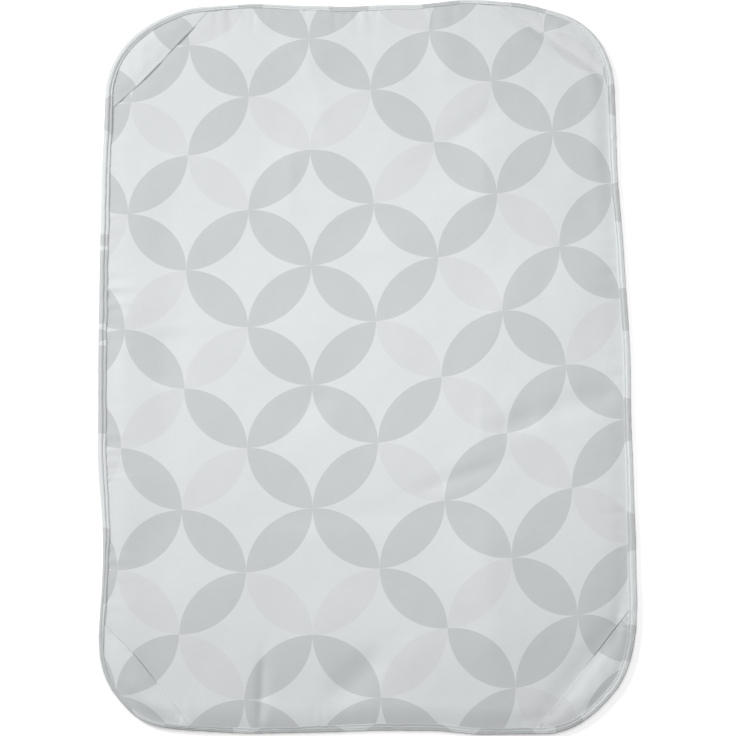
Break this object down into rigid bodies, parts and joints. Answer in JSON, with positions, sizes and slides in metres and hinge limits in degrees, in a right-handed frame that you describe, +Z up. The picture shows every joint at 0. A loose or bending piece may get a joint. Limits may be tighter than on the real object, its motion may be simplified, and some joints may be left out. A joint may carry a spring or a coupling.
{
  "type": "ironing blanket",
  "caption": "Padded cloth mat for ironing on a table, with rounded corners, a bound edge and a fabric pocket over each corner.",
  "frame": {"origin": "on the table, under the middle of the blanket", "axes": "+X to the right across the width, +Y along the length towards the top end, +Z up from the table"},
  "size_m": [0.696, 1.0092, 0.0091],
  "materials": {
    "printed_cotton": "plain-weave cotton with a soft grey print",
    "binding_cotton": "plain-weave cotton tape with a soft grey print",
    "felt": "needled white felt",
    "metallised_sheet": "satin silver coating on thin cloth",
    "backing_cloth": "plain unbleached cotton weave",
    "thread": "spun polyester sewing thread"
  },
  "bodies": {
    "root": {"backing": "backing_cloth", "heat_reflective_layer": "metallised_sheet", "padding": "felt", "top_cover": "printed_cotton", "corner_pocket_top_right": "printed_cotton", "corner_pocket_top_left": "printed_cotton", "corner_pocket_bottom_left": "printed_cotton", "corner_pocket_bottom_right": "printed_cotton", "edge_binding": "binding_cotton", "binding_top_thread": "thread", "binding_under_thread": "thread"}
  },
  "joints": []
}
